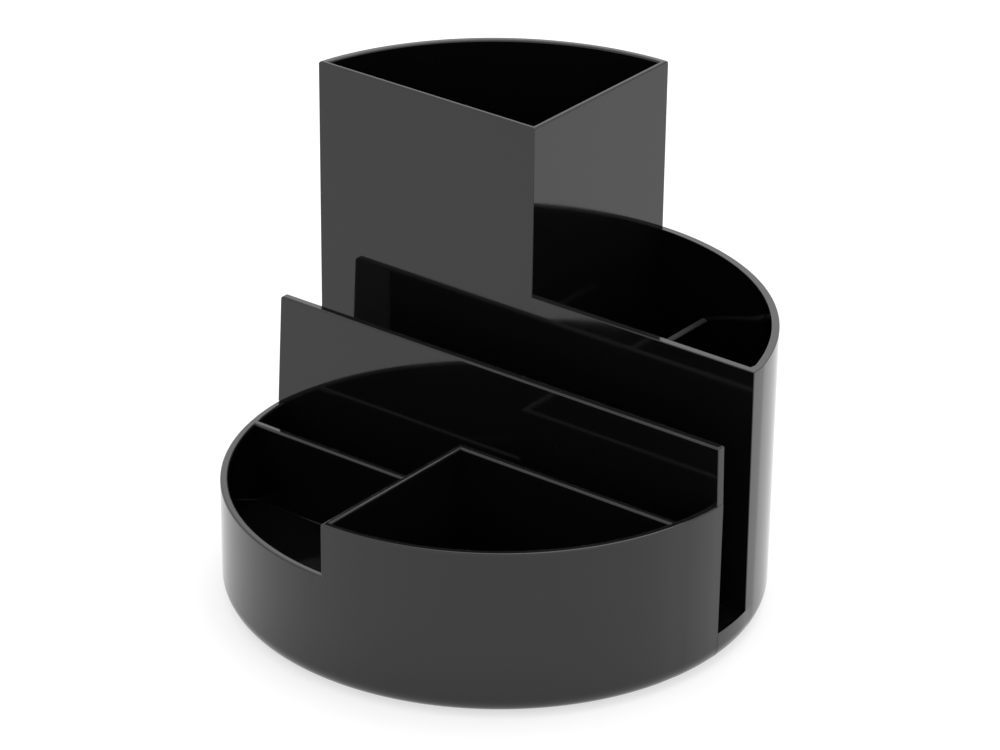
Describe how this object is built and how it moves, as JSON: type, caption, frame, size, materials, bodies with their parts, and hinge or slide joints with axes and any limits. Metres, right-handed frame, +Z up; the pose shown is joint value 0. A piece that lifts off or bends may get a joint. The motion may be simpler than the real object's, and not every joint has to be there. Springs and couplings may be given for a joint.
{
  "type": "desk organizer",
  "caption": "Round black desk organizer: a tall quarter-round pen cup, a letter slot across the middle and stepped open compartments on one base.",
  "frame": {"origin": "centre of the round footprint, on the desk surface that the feet stand on", "axes": "+X along the letter slot to the right, +Y to the back (tower and rear bin side), +Z up"},
  "size_m": [0.1385, 0.1393, 0.1205],
  "materials": {
    "gloss_black": "glossy injection-moulded black polystyrene",
    "satin_black": "fine satin black polystyrene",
    "foot_rubber": "matt dark grey rubber"
  },
  "bodies": {
    "root": {"front_tray": "gloss_black", "note_panel": "gloss_black", "rear_bin": "gloss_black", "bin_divider": "gloss_black", "pen_tower": "gloss_black", "base_plate": "satin_black", "foot_front_left": "foot_rubber", "foot_front_right": "foot_rubber", "foot_rear_left": "foot_rubber", "foot_rear_right": "foot_rubber"}
  },
  "joints": []
}
